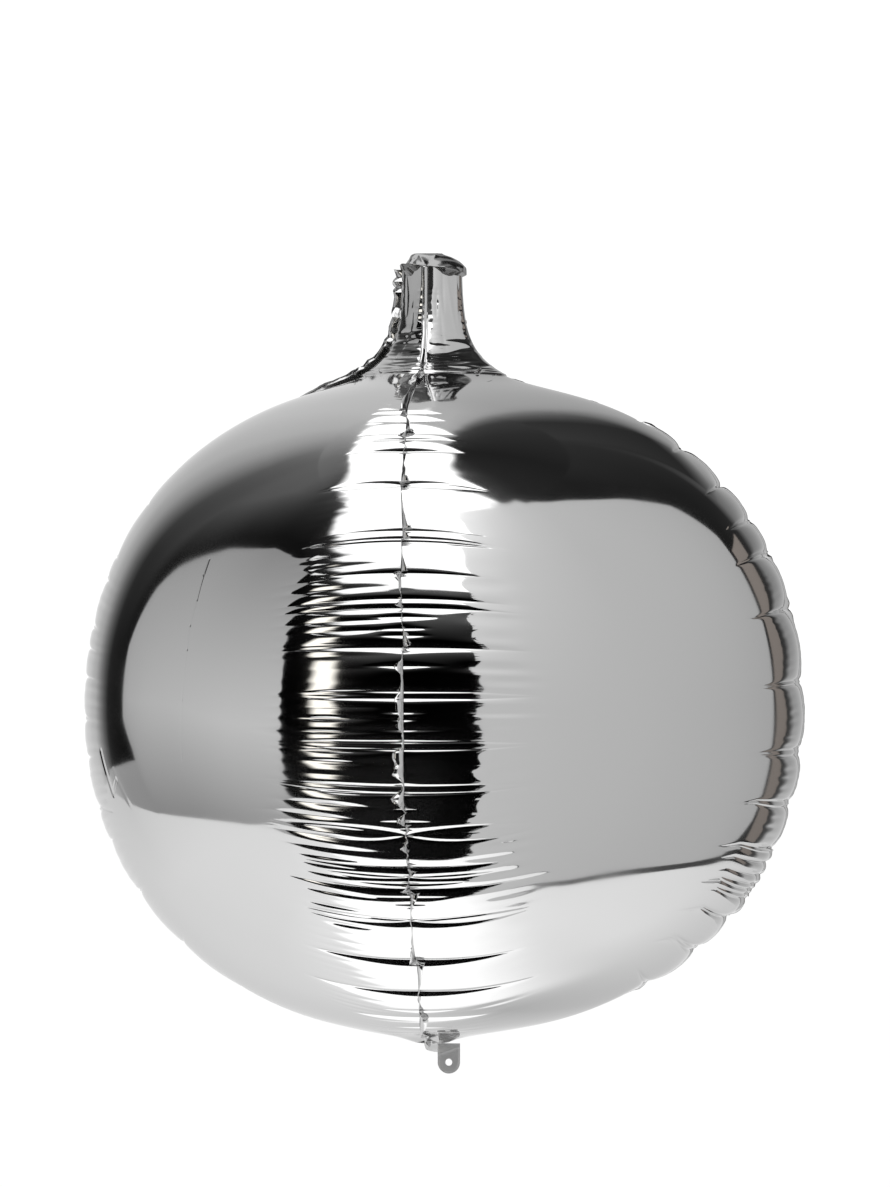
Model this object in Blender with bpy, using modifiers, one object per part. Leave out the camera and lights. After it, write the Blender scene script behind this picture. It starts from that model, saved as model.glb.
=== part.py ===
"""Foil balloon: four metallised film gores welded edge to edge, with a folded neck on top and two tabs below.

Units are metres and +Z is up. The origin is the hanging point, at the middle of the folded neck's top edge.
The four welds lie on the -Y (front), +X (right), +Y (back) and -X (left) sides of the axis.
"""

import math
from collections import namedtuple

import bmesh
import bpy
from mathutils import Vector

# Body: each half of the meridian is a superellipse about the equator, drawn out a little towards neck and tail.
EQUATOR_Z = -0.3504
CREST_RADIUS = 0.2745
BOTTOM_HEIGHT = 0.2514
BOTTOM_POWER = 2.06
TOP_HEIGHT = 0.2598
TOP_POWER = 2.175
NECK_DRAW = 0.0045
NECK_DRAW_REACH = 0.0410
TAIL_DRAW = 0.0060
TAIL_DRAW_REACH = 0.0500
FLATTENING = 0.057
SIDE_SHIFT = 0.0080

# Neck: the film flares out of a slim tube, which bulges a little between its welds.
NECK_RADIUS = 0.0227
NECK_TOP_Z = -0.0160
NECK_FOOT_Z = -0.0930
FLARE = 0.0330
FLARE_LENGTH = 0.0178
NECK_BULGE = 0.05
NECK_ROWS = 8

# Puckers: the weld is longer than the gore's middle, so it is drawn up into pillows with a pinch between each two.
PILLOWS = 15
ROWS_PER_PILLOW = 3
LOWEST_PINCH = math.radians(-74)
HIGHEST_PINCH = math.radians(66)
PINCH_DEPTH = 0.0042
PINCH_REACH = 0.085
GORE_COLUMNS = (0.0, 0.32, 0.58, 0.76, 0.90, 1.0)

# Walls and gaps.
WALL = 0.0100
THIN_WALL_RATIO = 0.13
WELD_WIDTH = 0.0042
WELD_THICKNESS = 0.0009
WELD_PLANE_GAP = 0.0008
SEAT_GAP = 0.0003

# Tail: the gathered ends of the gores, with two tabs of the same film below them.
TAIL_RADIUS = 0.0170
TAIL_THICKNESS = 0.0030
TAIL_FACE_Z = -0.6030
TAB_THICKNESS = 0.0010
TAB_RADIUS = 0.0086
TAB_HOLE_RADIUS = 0.0025
TAB_X = 0.0132
TAB_HOLE_Z = -0.6178
TAB_Y = -0.0020
CREASE_LEFT_Z = -0.6117
CREASE_RIGHT_Z = -0.6053
CREASE_GAP = 0.0008
SECOND_TAB_X = 0.0014
SECOND_TAB_Y = 0.0020
SECOND_TAB_LENGTH = 0.0220
SECOND_TAB_LEAN = math.radians(65)

# Neck fold: the neck's open end is folded flat, into a short ridge.
FOLD_HALF_WIDTH = 0.0262
FOLD_HALF_DEPTH = 0.0244
RIDGE_HALF_WIDTH = 0.0206
RIDGE_HALF_DEPTH = 0.0050

QUARTER = math.pi / 2
WELD_NAMES = ("front", "right", "back", "left")
QUARTER_NAMES = ("front_right", "back_right", "back_left", "front_left")

# A row of the film: the crest line's radius, height and normal (outwards, upwards) at the weld, how much of the
# puckers shows there, and how far the gore's middle bulges beyond the crest line, as a share of the radius.
Row = namedtuple("Row", "radius z out up pinch bulge")


def clear_scene():
    for thing in list(bpy.data.objects):
        bpy.data.objects.remove(thing)


def collection(name):
    made = bpy.data.collections.new(name)
    bpy.context.scene.collection.children.link(made)
    return made


def material(name, colour, roughness, metallic):
    made = bpy.data.materials.new(name)
    made.use_nodes = True
    shader = made.node_tree.nodes["Principled BSDF"]
    shader.inputs["Base Color"].default_value = (*colour, 1.0)
    shader.inputs["Roughness"].default_value = roughness
    shader.inputs["Metallic"].default_value = metallic
    return made


def add_object(name, bm, finish, group):
    """A new object from a bmesh, with its faces pointing out."""
    bmesh.ops.recalc_face_normals(bm, faces=bm.faces)
    if bm.calc_volume(signed=True) < 0:
        bmesh.ops.reverse_faces(bm, faces=bm.faces)
    mesh = bpy.data.meshes.new(name)
    bm.to_mesh(mesh)
    bm.free()
    mesh.materials.append(finish)
    made = bpy.data.objects.new(name, mesh)
    group.objects.link(made)
    return made


def shade_smooth(thing, degrees):
    thing.data.shade_smooth()
    thing.data.set_sharp_from_angle(angle=math.radians(degrees))


def smoothstep(low, high, value):
    share = min(1.0, max(0.0, (value - low) / (high - low)))
    return share * share * (3 - 2 * share)


def neck_radius(z):
    return NECK_RADIUS + FLARE * math.exp((NECK_FOOT_Z - z) / FLARE_LENGTH)


def drawn_out(radius, end_radius, reach, depth):
    """How far the crest line is drawn out beside the neck or the tail, which begins at its own radius."""
    share = max(0.0, radius - end_radius) / reach
    return depth * share * math.exp(1 - share) * (1 - (radius / CREST_RADIUS) ** 2)


def body_point(angle):
    """Radius and height of the crest line at an angle above (+) or below (-) the equator."""
    if angle > 0:
        radius = CREST_RADIUS * math.cos(angle) ** (2 / TOP_POWER)
        rise = TOP_HEIGHT * math.sin(angle) ** (2 / TOP_POWER)
        return radius, EQUATOR_Z + rise - drawn_out(radius, neck_radius(NECK_FOOT_Z), NECK_DRAW_REACH, NECK_DRAW)
    radius = CREST_RADIUS * math.cos(angle) ** (2 / BOTTOM_POWER)
    drop = BOTTOM_HEIGHT * math.sin(-angle) ** (2 / BOTTOM_POWER)
    return radius, EQUATOR_Z - drop + drawn_out(radius, TAIL_RADIUS, TAIL_DRAW_REACH, TAIL_DRAW)


def tail_angle():
    """The angle at which the crest line reaches the edge of the gathered tail."""
    share = TAIL_RADIUS / CREST_RADIUS
    return -math.acos(share ** (BOTTOM_POWER / 2))


def shoulder_angle():
    """The angle at which the crest line meets the foot of the neck."""
    share = neck_radius(NECK_FOOT_Z) / CREST_RADIUS
    return math.acos(share ** (TOP_POWER / 2))


def crest_stations():
    """Radius, height and pinch down the crest line, from the tail over the equator to the top of the neck."""
    stations = [(*body_point(angle), 0.0) for angle in (tail_angle(), math.radians(-84), math.radians(-80))]
    steps = PILLOWS * ROWS_PER_PILLOW
    for i in range(steps + 1):
        angle = LOWEST_PINCH + (HIGHEST_PINCH - LOWEST_PINCH) * i / steps
        along_pillow = (i % ROWS_PER_PILLOW) / ROWS_PER_PILLOW
        arch = 4 * along_pillow * (1 - along_pillow)
        stations.append((*body_point(angle), 1 - arch))
    last = shoulder_angle()
    for share in (0.4, 0.75):
        stations.append((*body_point(HIGHEST_PINCH + (last - HIGHEST_PINCH) * share), 0.0))
    stations.append((neck_radius(NECK_FOOT_Z), NECK_FOOT_Z, 0.0))
    for i in range(NECK_ROWS + 1):
        z = NECK_FOOT_Z + SEAT_GAP + (NECK_TOP_Z - NECK_FOOT_Z - SEAT_GAP) * (i / NECK_ROWS) ** 1.4
        stations.append((neck_radius(z), z, 0.0))
    return stations


def meridian_rows():
    """The rows of the film. Gore and neck share one direction where they meet, so their walls end side by side."""
    stations = crest_stations()
    rows = []
    foot = len(stations) - NECK_ROWS - 2
    for i, (radius, z, pinch) in enumerate(stations):
        first, last = (foot - 1, foot + 2) if i in (foot, foot + 1) else (i - 1, i + 1)
        before, after = stations[max(first, 0)], stations[min(last, len(stations) - 1)]
        run, rise = after[0] - before[0], after[1] - before[1]
        length = math.hypot(run, rise)
        at_end = smoothstep(0.09, 0.03, radius)
        end_bulge = NECK_BULGE if z > EQUATOR_Z else 0.0
        bulge = end_bulge * at_end - FLATTENING * (1 - at_end)
        rows.append(Row(radius, z, rise / length, -run / length, pinch, bulge))
    return rows


def side_shift(row):
    """The body sits a little to one side of its neck and tail."""
    share = smoothstep(0.07 * CREST_RADIUS, 0.63 * CREST_RADIUS, row.radius)
    return Vector((SIDE_SHIFT * share, 0, 0))


def wall_at(row):
    return min(WALL, THIN_WALL_RATIO * row.radius)


def pucker_depth(row, from_weld):
    """How far the film is drawn in by the pinches, at a distance along the row from the nearest weld."""
    fade = max(0.0, 1 - from_weld / PINCH_REACH)
    return PINCH_DEPTH * row.pinch * fade**1.5


def film_point(row, share, azimuth, depth=0.0):
    """A point of the film on a row: share is -1 to 1 across the gore whose middle faces azimuth, depth is inwards."""
    edge = QUARTER / 2 - WELD_PLANE_GAP / row.radius
    swing = share * edge
    across = 0.5 * (1 + math.cos(4 * swing))
    radius = row.radius * (1 + row.bulge * across)
    depth += pucker_depth(row, (edge - abs(swing)) * row.radius)
    radius -= depth * row.out
    angle = azimuth + swing
    z = row.z - depth * row.up
    return Vector((radius * math.cos(angle), radius * math.sin(angle), z)) + side_shift(row)


def build_film(name, azimuth, rows, finish, group):
    """A gore or its strip of the neck: a grid over the rows, extruded inwards by the wall."""
    shares = [-c for c in reversed(GORE_COLUMNS[1:])] + list(GORE_COLUMNS)
    bm = bmesh.new()
    across = bm.verts.layers.int.new("across")
    along = bm.verts.layers.int.new("along")
    last_column, last_row = len(shares) - 1, len(rows) - 1
    bmesh.ops.create_grid(bm, x_segments=last_column, y_segments=last_row, size=1.0)
    for vert in bm.verts:
        vert[across] = round((vert.co.x + 1) / 2 * last_column)
        vert[along] = round((vert.co.y + 1) / 2 * last_row)
    made = bmesh.ops.extrude_face_region(bm, geom=bm.faces[:], use_keep_orig=True)
    inner = {part for part in made["geom"] if isinstance(part, bmesh.types.BMVert)}
    for vert in bm.verts:
        row = rows[vert[along]]
        vert.co = film_point(row, shares[vert[across]], azimuth, wall_at(row) if vert in inner else 0.0)
    thing = add_object(name, bm, finish, group)
    shade_smooth(thing, 50)


def build_weld(name, azimuth, rows, finish, group):
    """The welded edge between two gores: a ribbon in the plane of the weld, held between the gores' walls."""
    bm = bmesh.new()
    last_row = len(rows) - 1
    bmesh.ops.create_grid(bm, x_segments=1, y_segments=last_row, size=1.0)
    toward = Vector((math.cos(azimuth), math.sin(azimuth), 0))
    for vert in bm.verts:
        row = rows[round((vert.co.y + 1) / 2 * last_row)]
        depth = pucker_depth(row, 0.0) + (wall_at(row) if vert.co.x < 0 else -WELD_WIDTH)
        vert.co = toward * (row.radius - depth * row.out) + side_shift(row)
        vert.co.z += row.z - depth * row.up
    thing = add_object(name, bm, finish, group)
    solid = thing.modifiers.new("thickness", "SOLIDIFY")
    solid.thickness = WELD_THICKNESS
    solid.offset = 0.0
    shade_smooth(thing, 50)


def build_neck_fold(finish, group):
    """The folded end of the neck: a round foot drawn together into a ridge."""
    foot_z = NECK_TOP_Z + SEAT_GAP
    bm = bmesh.new()
    bmesh.ops.create_cone(bm, cap_ends=True, segments=24, radius1=1.0, radius2=1.0, depth=-foot_z)
    for vert in bm.verts:
        top = vert.co.z > 0
        vert.co.x *= RIDGE_HALF_WIDTH if top else FOLD_HALF_WIDTH
        vert.co.y *= RIDGE_HALF_DEPTH if top else FOLD_HALF_DEPTH
        vert.co.z = 0.0 if top else foot_z
    thing = add_object("neck_fold", bm, finish, group)
    shade_smooth(thing, 30)
    return thing


def build_tail(finish, group):
    """The gathered ends of the gores: a thin disc that closes the bottom."""
    radius = TAIL_RADIUS - 2 * SEAT_GAP
    bm = bmesh.new()
    bmesh.ops.create_cone(
        bm, cap_ends=True, segments=32, radius1=radius - 0.0015, radius2=radius, depth=TAIL_THICKNESS
    )
    bmesh.ops.translate(bm, verts=bm.verts, vec=(0, 0, TAIL_FACE_Z + TAIL_THICKNESS / 2))
    thing = add_object("tail_weld", bm, finish, group)
    shade_smooth(thing, 30)
    return thing


def crease_z(x, side):
    """Height of the film's edge at the tab's crease, above it (side +1) or below it (side -1)."""
    share = (x - (TAB_X - TAB_RADIUS)) / (2 * TAB_RADIUS)
    slope = (CREASE_RIGHT_Z - CREASE_LEFT_Z) / (2 * TAB_RADIUS)
    half_gap = 0.5 * CREASE_GAP * math.hypot(1, slope)
    return CREASE_LEFT_Z + (CREASE_RIGHT_Z - CREASE_LEFT_Z) * share + side * half_gap


def flat_outline(name, loops, thickness, finish, group):
    """A flat plate in the XZ plane from closed outlines: the first is the edge, any others are holes."""
    curve = bpy.data.curves.new(name, "CURVE")
    curve.dimensions = "2D"
    curve.fill_mode = "BOTH"
    curve.extrude = thickness / 2
    for loop in loops:
        spline = curve.splines.new("POLY")
        spline.points.add(len(loop) - 1)
        for point, (x, z) in zip(spline.points, loop):
            point.co = (x, z, 0, 1)
        spline.use_cyclic_u = True
    curve.materials.append(finish)
    thing = bpy.data.objects.new(name, curve)
    thing.rotation_euler = (math.pi / 2, 0, 0)
    group.objects.link(thing)
    return thing


def arc_points(centre, radius, start, end, count):
    """Points of an arc, from the start angle to the end angle."""
    angles = (start + (end - start) * i / count for i in range(count + 1))
    return [(centre[0] + radius * math.cos(a), centre[1] + radius * math.sin(a)) for a in angles]


def build_tab(finish, group):
    """The hole tab below its crease, which swings there, and the short root above the crease."""
    left, right = TAB_X - TAB_RADIUS, TAB_X + TAB_RADIUS
    root_top = TAIL_FACE_Z - SEAT_GAP
    root_edge = [(left, crease_z(left, 1)), (right, crease_z(right, 1)), (right, root_top), (left, root_top)]
    root = flat_outline("tab_root", [root_edge], TAB_THICKNESS, finish, group)
    root.location.y = TAB_Y
    centre = (TAB_X, TAB_HOLE_Z)
    edge = [(right, crease_z(right, -1)), (left, crease_z(left, -1))]
    edge += arc_points(centre, TAB_RADIUS, -math.pi, 0.0, 14)
    hole = arc_points(centre, TAB_HOLE_RADIUS, 0.0, 2 * math.pi, 20)[:-1]
    # The tab's own origin is on its crease, half way across it.
    pivot_z = (CREASE_LEFT_Z + CREASE_RIGHT_Z) / 2
    loops = [[(x - TAB_X, z - pivot_z) for x, z in loop] for loop in (edge, hole)]
    tab = flat_outline("hole_tab", loops, TAB_THICKNESS, finish, group)
    tab.location = (TAB_X, TAB_Y, pivot_z)


def build_second_tab(finish, group):
    """The plain tab behind, folded back under the tail."""
    length = SECOND_TAB_LENGTH - TAB_RADIUS
    edge = [(TAB_RADIUS, 0.0), (-TAB_RADIUS, 0.0)]
    edge += arc_points((0.0, -length), TAB_RADIUS, -math.pi, 0.0, 14)
    tab = flat_outline("second_tab", [edge], TAB_THICKNESS, finish, group)
    # Its upper edge leans with it, so it is set down by that edge's own height as well.
    drop = TAB_THICKNESS / 2 * math.sin(SECOND_TAB_LEAN)
    tab.location = (SECOND_TAB_X, SECOND_TAB_Y, TAIL_FACE_Z - SEAT_GAP - drop)
    tab.rotation_euler.x = math.pi / 2 + SECOND_TAB_LEAN


def main():
    clear_scene()
    balloon = collection("foil_balloon")
    film = material("film_silver", (0.86, 0.86, 0.87), 0.06, 1.0)
    weld = material("weld_silver", (0.72, 0.72, 0.73), 0.18, 1.0)
    tab_film = material("tab_film", (0.52, 0.52, 0.53), 0.30, 1.0)
    rows = meridian_rows()
    neck_start = len(rows) - NECK_ROWS - 1
    for number, (quarter, edge) in enumerate(zip(QUARTER_NAMES, WELD_NAMES)):
        weld_azimuth = (number - 1) * QUARTER
        middle = weld_azimuth + QUARTER / 2
        build_film(f"gore_{quarter}", middle, rows[:neck_start], film, balloon)
        build_film(f"neck_{quarter}", middle, rows[neck_start:], film, balloon)
        build_weld(f"weld_{edge}", weld_azimuth, rows, weld, balloon)
    build_neck_fold(film, balloon)
    build_tail(weld, balloon)
    build_tab(tab_film, balloon)
    build_second_tab(tab_film, balloon)


main()
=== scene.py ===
"""Looks of the foil balloon: mirror film with welded, puckered seams, a crumpled neck and film tabs.

Units are metres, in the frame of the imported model: the origin is the hanging point on top of the neck, and +Z
is up. The four welds lie on the -Y (front), +X (right), +Y (back) and -X (left) sides of the axis.
"""

import math
from collections import namedtuple

import bpy
import numpy as np
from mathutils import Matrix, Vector


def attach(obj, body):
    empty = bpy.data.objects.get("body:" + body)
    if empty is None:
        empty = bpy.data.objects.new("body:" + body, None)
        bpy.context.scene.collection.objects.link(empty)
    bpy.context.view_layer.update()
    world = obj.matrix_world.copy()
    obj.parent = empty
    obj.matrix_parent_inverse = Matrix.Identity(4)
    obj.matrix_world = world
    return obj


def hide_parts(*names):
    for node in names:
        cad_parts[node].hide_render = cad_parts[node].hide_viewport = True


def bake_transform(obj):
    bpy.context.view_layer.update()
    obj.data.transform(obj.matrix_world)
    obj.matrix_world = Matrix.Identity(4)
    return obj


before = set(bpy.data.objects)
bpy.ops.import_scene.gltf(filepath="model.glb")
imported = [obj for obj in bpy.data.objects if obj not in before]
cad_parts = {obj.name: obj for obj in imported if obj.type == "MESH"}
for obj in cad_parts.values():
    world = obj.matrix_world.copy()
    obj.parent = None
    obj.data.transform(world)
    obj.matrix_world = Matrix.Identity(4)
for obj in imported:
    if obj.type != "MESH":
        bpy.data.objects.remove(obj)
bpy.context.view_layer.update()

MM = 0.001
QUARTER = math.pi / 2

# Camera: level, with a long lens, turned a little to the right of the front weld. The photograph's size is in
# pixels, and the view's height is what it shows at the axis.
PHOTO_WIDTH = 890
PHOTO_HEIGHT = 1187
VIEW_HEIGHT = 0.907
CAMERA_DISTANCE = 2.6
CAMERA_X = 0.010
CAMERA_Z = -0.260
CAMERA_AZIMUTH = math.radians(7)
SENSOR = 36.0

# Crest line of the welds, as in the solids: two halves of a superellipse and a flaring neck.
EQUATOR_Z = -0.3504
CREST_RADIUS = 0.2745
BOTTOM_HEIGHT = 0.2514
BOTTOM_POWER = 2.06
TOP_HEIGHT = 0.2598
TOP_POWER = 2.175
NECK_DRAW = 0.0045
NECK_DRAW_REACH = 0.0410
TAIL_DRAW = 0.0060
TAIL_DRAW_REACH = 0.0500
FLATTENING = 0.057
SIDE_SHIFT = 0.0080
NECK_RADIUS = 0.0227
NECK_TOP_Z = -0.0120
NECK_FOOT_Z = -0.0930
FLARE = 0.0330
FLARE_LENGTH = 0.0178
NECK_BULGE = -0.09
POLE_RADIUS = 0.0040

# Film mesh: rows up the meridian and columns across each half gore, closer together towards the weld.
LINE_STEP = 0.5 * MM
FRONT_ROWS = 1210
BACK_ROWS = 950
HALF_COLUMNS = 42
COLUMN_POWER = 1.75
FILM_GAP = 0.15 * MM

# Wrinkle band beside each weld, and how much its creases bow towards the equator.
BAND_REACH = 88 * MM
BAND_POWER_TOP = 2.2
BAND_POWER_BOTTOM = 8
CREASE_BOW = 1.5
BOW_LIMIT = 100 * MM
GROOVE_ROUNDING = 0.6
SHORT_CREASE = 0.6

# Welded fins.
FIN_WIDTH = 3.8 * MM
FIN_HALF_THICKNESS = 0.10 * MM
FIN_ROOT = 2.0 * MM
FIN_COLUMNS = 5

# Heights between which the front fin is crushed, each with the height where that is at its full strength.
CRUSHED_BOTTOM = (-0.450, -0.430)
CRUSHED_TOP = (-0.290, -0.320)

# Gathered tail and tabs.
TAIL_RADIUS = 17.0 * MM
GATHER_RADIUS = 14.0 * MM
TAIL_Z = -0.6026
TAIL_HALF_THICKNESS = 0.15 * MM
TAIL_ROWS = 24
TAIL_COLUMNS = 180
TAB_RADIUS = 8.6 * MM
TAB_HOLE_RADIUS = 2.6 * MM
TAB_X = 0.0132
TAB_Y = -0.0020
TAB_HOLE_Z = -0.6178
TAB_TOP_Z = -0.6033
TAB_HALF_THICKNESS = 0.15 * MM
CREASE_LEFT_Z = -0.6117
CREASE_RIGHT_Z = -0.6053
SECOND_TAB_RADIUS = 8.0 * MM
SECOND_TAB_X = 0.0014
SECOND_TAB_Y = 0.0020
SECOND_TAB_LENGTH = 0.0220
SECOND_TAB_LEAN = math.radians(65)

# Brightness that the film gives back, which the studio's tones are worked out for.
FILM_REFLECTANCE = 0.80
DISPLAY_GAMMA = 2.2
EDGE_TINT = (0.78, 0.78, 0.78)
STUDIO_RADIUS = 1.8
WORLD_STRENGTH = 1.05
FLOOR_RADIUS = 40.0
FLOOR_Z = -2.4

Profile = namedtuple("Profile", "s radius z out up bulge shift band bow")

# A crease across a weld: its height, its depth and width at the weld, its reach as a share of the band's
# width, and the gap between its two lines if it is double; below zero, they meet at the weld too.
Crease = namedtuple("Crease", "z depth width reach gap")

# The ripples on one side of a weld: their pitch, where they are strongest as a share of the band, how far
# they spread from there, their slope, and how round they are, from 0 for sharp arches to 1 for soft waves.
Ripples = namedtuple("Ripples", "pitch middle spread slope round")

# A fold on a strip of the neck: its middle, across the strip and up from the neck's foot, its direction from
# level, half length, depth and width.
Fold = namedtuple("Fold", "across up angle half_length depth width")


def smoothstep(low, high, value):
    share = np.clip((value - low) / (high - low), 0.0, 1.0)
    return share * share * (3 - 2 * share)


def neck_radius(z):
    return NECK_RADIUS + FLARE * np.exp((NECK_FOOT_Z - z) / FLARE_LENGTH)


def drawn_out(radius, end_radius, reach, depth):
    """How far the crest line is drawn out beside the neck or the tail, which begins at its own radius."""
    share = np.maximum(radius - end_radius, 0) / reach
    return depth * share * np.exp(1 - share) * (1 - (radius / CREST_RADIUS) ** 2)


def crest_line():
    """Radius and height of many points of the crest line, from the tail to the top of the neck."""
    foot_radius = neck_radius(NECK_FOOT_Z)
    lowest = -math.acos((POLE_RADIUS / CREST_RADIUS) ** (BOTTOM_POWER / 2))
    highest = math.acos((foot_radius / CREST_RADIUS) ** (TOP_POWER / 2))
    below = np.linspace(lowest, 0, 900)[:-1]
    above = np.linspace(0, highest, 900)[:-1]
    low = CREST_RADIUS * np.cos(below) ** (2 / BOTTOM_POWER)
    high = CREST_RADIUS * np.cos(above) ** (2 / TOP_POWER)
    drop = BOTTOM_HEIGHT * np.abs(np.sin(below)) ** (2 / BOTTOM_POWER)
    rise = TOP_HEIGHT * np.sin(above) ** (2 / TOP_POWER)
    low_z = EQUATOR_Z - drop + drawn_out(low, TAIL_RADIUS, TAIL_DRAW_REACH, TAIL_DRAW)
    high_z = EQUATOR_Z + rise - drawn_out(high, foot_radius, NECK_DRAW_REACH, NECK_DRAW)
    neck = np.linspace(NECK_FOOT_Z, NECK_TOP_Z, 300)
    return np.concatenate([low, high, neck_radius(neck)]), np.concatenate([low_z, high_z, neck])


def band_reach(z):
    """How far the wrinkles reach from the weld at a height."""
    above = np.clip((z - EQUATOR_Z) / TOP_HEIGHT, 0, 1)
    below = np.clip((EQUATOR_Z - z) / BOTTOM_HEIGHT, 0, 1)
    return BAND_REACH * (1 - above**BAND_POWER_TOP) * (1 - 0.9 * below**BAND_POWER_BOTTOM) + 1e-6


def make_profile():
    radius, z = crest_line()
    arc = np.concatenate([[0], np.cumsum(np.hypot(np.diff(radius), np.diff(z)))])
    s = np.arange(0, arc[-1], LINE_STEP)
    radius, z = np.interp(s, arc, radius), np.interp(s, arc, z)
    run, rise = np.gradient(radius), np.gradient(z)
    length = np.hypot(run, rise)
    out, up = rise / length, -run / length
    at_end = smoothstep(0.09, 0.03, radius)
    bulge = np.where(z > EQUATOR_Z, NECK_BULGE, 0.0) * at_end - FLATTENING * (1 - at_end)
    shift = SIDE_SHIFT * smoothstep(0.07 * CREST_RADIUS, 0.63 * CREST_RADIUS, radius)
    latitude = np.clip(np.arctan2(up, out), -1.1, 1.1)
    bow = CREASE_BOW * np.tan(latitude) / (2 * CREST_RADIUS)
    return Profile(s, radius, z, out, up, bulge, shift, band_reach(z), bow)


PROFILE = make_profile()
FOOT_S = float(np.interp(NECK_FOOT_Z, PROFILE.z, PROFILE.s))
TOP_S = float(PROFILE.s[-1])


def line(field, s):
    """A value of the crest line at arc positions s."""
    return np.interp(s, PROFILE.s, getattr(PROFILE, field))


def s_at(z):
    return np.interp(z, PROFILE.z, PROFILE.s)


# Creases of the front weld: height, then depth and width in mm, reach, and gap in mm.
FRONT_CREASES = [
    (-0.1295, 1.1, 1.4, 0.95, 0), (-0.1349, 1.0, 1.3, 0.9, 0), (-0.1449, 1.3, 1.4, 0.95, 0),
    (-0.1491, 0.8, 1.0, 0.8, 0), (-0.1573, 1.7, 1.5, 1.0, 0), (-0.1740, 0.5, 1.0, 0.5, 0),
    (-0.1823, 2.1, 1.5, 1.05, -4), (-0.2159, 0.9, 1.0, 0.72, 0), (-0.2229, 1.4, 1.2, 1.08, 2.5),
    (-0.2457, 1.2, 1.2, 0.72, 0), (-0.2636, 1.3, 1.3, 0.95, 0), (-0.2693, 1.5, 1.2, 1.05, 0),
    (-0.2761, 0.9, 1.0, 0.30, 0), (-0.2839, 0.9, 1.0, 0.22, 0), (-0.2888, 0.9, 1.0, 0.22, 0),
    (-0.2966, 1.8, 1.5, 1.02, 0), (-0.3095, 0.9, 1.0, 0.32, 0), (-0.3294, 1.4, 1.0, 1.08, 5),
    (-0.3414, 0.9, 1.0, 0.20, 0), (-0.3464, 0.8, 1.0, 0.12, 0), (-0.3534, 1.0, 1.1, 0.44, 0),
    (-0.3644, 1.4, 1.0, 1.08, 5.2), (-0.3952, 1.4, 1.0, 1.08, 5.2), (-0.4089, 0.9, 1.0, 0.16, 0),
    (-0.4176, 0.9, 1.0, 0.24, 0), (-0.4270, 1.5, 1.1, 1.10, -11), (-0.4505, 1.7, 1.5, 0.85, 0),
    (-0.4568, 1.2, 1.0, 0.75, -3), (-0.4613, 1.0, 1.0, 0.40, 0), (-0.4665, 2.0, 1.6, 1.10, 0),
    (-0.4718, 0.9, 1.0, 0.30, 0), (-0.4760, 0.8, 1.0, 0.15, 0), (-0.4900, 1.8, 1.3, 1.05, -6),
    (-0.5099, 0.4, 1.0, 0.5, 0), (-0.5215, 3.2, 2.5, 0.95, 0), (-0.5487, 4.2, 3.0, 1.15, 0),
    (-0.5610, 0.7, 1.2, 0.40, 0), (-0.5703, 1.5, 2.0, 0.9, 0), (-0.5782, 0.9, 1.3, 0.50, 0),
    (-0.5870, 1.4, 2.0, 0.9, 0),
]

# Heights of the right weld's pinches: few and far apart round the waist, and a close row of them below it.
RIGHT_HEIGHTS = [-0.1286, -0.1484, -0.1772, -0.2039, -0.2285, -0.2710, -0.3262, -0.3795, -0.4190, -0.4538,
                 -0.4631, -0.4727, -0.4812, -0.4887, -0.5050, -0.5300, -0.5560]


def random_creases(rng, heights, reach):
    return [Crease(z, rng.uniform(2.2, 3.4) * MM, rng.uniform(1.3, 1.9) * MM, reach * rng.uniform(0.9, 1.1),
                   rng.choice([0.0, 3.0, 5.0]) * MM) for z in heights]


def random_heights(rng):
    made = [-0.128]
    while made[-1] > -0.560:
        made.append(made[-1] - rng.uniform(0.012, 0.042))
    return made


def make_creases():
    made = {"front": [Crease(z, depth * MM, width * MM, reach, gap * MM)
                      for z, depth, width, reach, gap in FRONT_CREASES]}
    made["right"] = random_creases(np.random.default_rng(22), RIGHT_HEIGHTS, 1.4)
    for name, seed in (("back", 33), ("left", 44)):
        rng = np.random.default_rng(seed)
        made[name] = random_creases(rng, random_heights(rng), 1.0)
    return {name: sorted(creases, key=lambda crease: crease.z) for name, creases in made.items()}


WELD_ORDER = ["front", "right", "back", "left"]
QUARTER_NAMES = ["front_right", "back_right", "back_left", "front_left"]
AZIMUTH = {"front": -QUARTER, "right": 0.0, "back": QUARTER, "left": 2 * QUARTER}
SEED = {"front": 11, "right": 12, "back": 13, "left": 14}
CREASES = make_creases()

# Ripples by weld, and by the side of it that a gore lies on.
RIPPLES = {
    ("front", 1): Ripples((8.0, 15.0), 0.82, 21 * MM, 0.18, 1.0),
    ("front", -1): Ripples((5.5, 9.5), 0.62, 30 * MM, 0.60, 0.0),
    ("right", -1): Ripples((4.5, 8.0), 0.58, 17 * MM, 0.22, 0.5),
    ("right", 1): Ripples((6.0, 10.0), 0.75, 24 * MM, 0.34, 0.5),
    ("back", -1): Ripples((5.5, 9.5), 0.75, 24 * MM, 0.34, 0.7),
    ("back", 1): Ripples((5.5, 9.5), 0.72, 25 * MM, 0.38, 0.3),
    ("left", -1): Ripples((5.5, 9.5), 0.75, 24 * MM, 0.34, 0.5),
    ("left", 1): Ripples((6.0, 12.0), 0.85, 34 * MM, 0.13, 0.8),
}

# Tightness of a weld's pillows: the radius of their arch below the waist, round it and at the band's top.
PILLOW_ARCH = {"front": (70 * MM, 150 * MM, 12 * MM), "right": (24 * MM, 58 * MM, 60 * MM),
               "back": (60 * MM, 120 * MM, 40 * MM), "left": (60 * MM, 70 * MM, 70 * MM)}
PILLOW_LIMIT = {"front": 1.8 * MM, "right": 3.6 * MM, "back": 2.4 * MM, "left": 2.8 * MM}

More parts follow.
